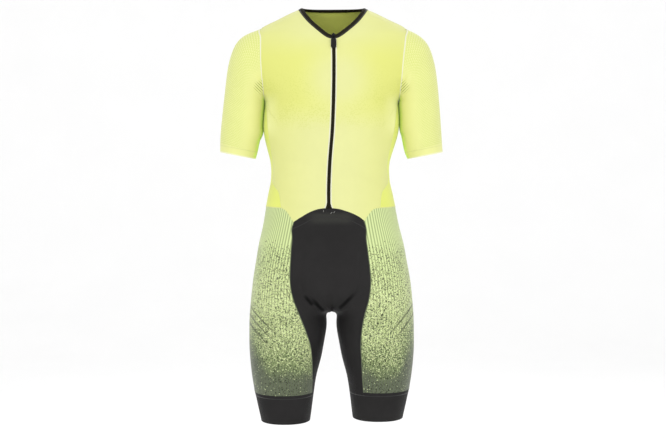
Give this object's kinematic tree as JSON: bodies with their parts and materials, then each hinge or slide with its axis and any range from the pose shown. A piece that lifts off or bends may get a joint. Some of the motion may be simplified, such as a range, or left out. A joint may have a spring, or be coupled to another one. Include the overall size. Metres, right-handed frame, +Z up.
{
  "type": "cycling skinsuit",
  "caption": "One-piece cycling skinsuit with elbow-length sleeves, a full-length front zip, a neck binding and elastic leg bands, in its worn shape with no wearer.",
  "frame": {"origin": "the middle of the neck opening, level with the points where neck and shoulder meet", "axes": "+Z up towards the wearer's head, -Y the way the wearer faces, +X towards the wearer's left"},
  "size_m": [0.5222, 0.2505, 0.97],
  "materials": {
    "lime": "matt stretch knit, pale lime",
    "yellow": "matt open knit, yellow",
    "speckle": "printed knit, lime speckled into grey-green",
    "black": "matt black stretch knit",
    "trim": "black woven tape",
    "pull": "satin black"
  },
  "bodies": {
    "garment": {"front_right": "lime", "front_left": "lime", "back": "yellow", "sleeve_right": "lime", "sleeve_left": "lime", "neck_binding": "trim", "zip_tape": "trim", "zip_slider": "pull", "front_arch": "black", "front_panel": "black", "seat_panel": "black", "outer_leg_right": "speckle", "outer_leg_left": "speckle", "inner_leg_right": "black", "inner_leg_left": "black", "gripper_right": "black", "gripper_left": "black"},
    "pull": {"zip_pull": "pull"}
  },
  "joints": [
    {"name": "pull_hinge", "type": "hinge", "parent": "garment", "child": "pull", "pos_m": [0.00452, -0.08699, -0.06953], "axis": [-0.9999, -0.005, -0.0091], "range_deg": [0, 150]}
  ]
}
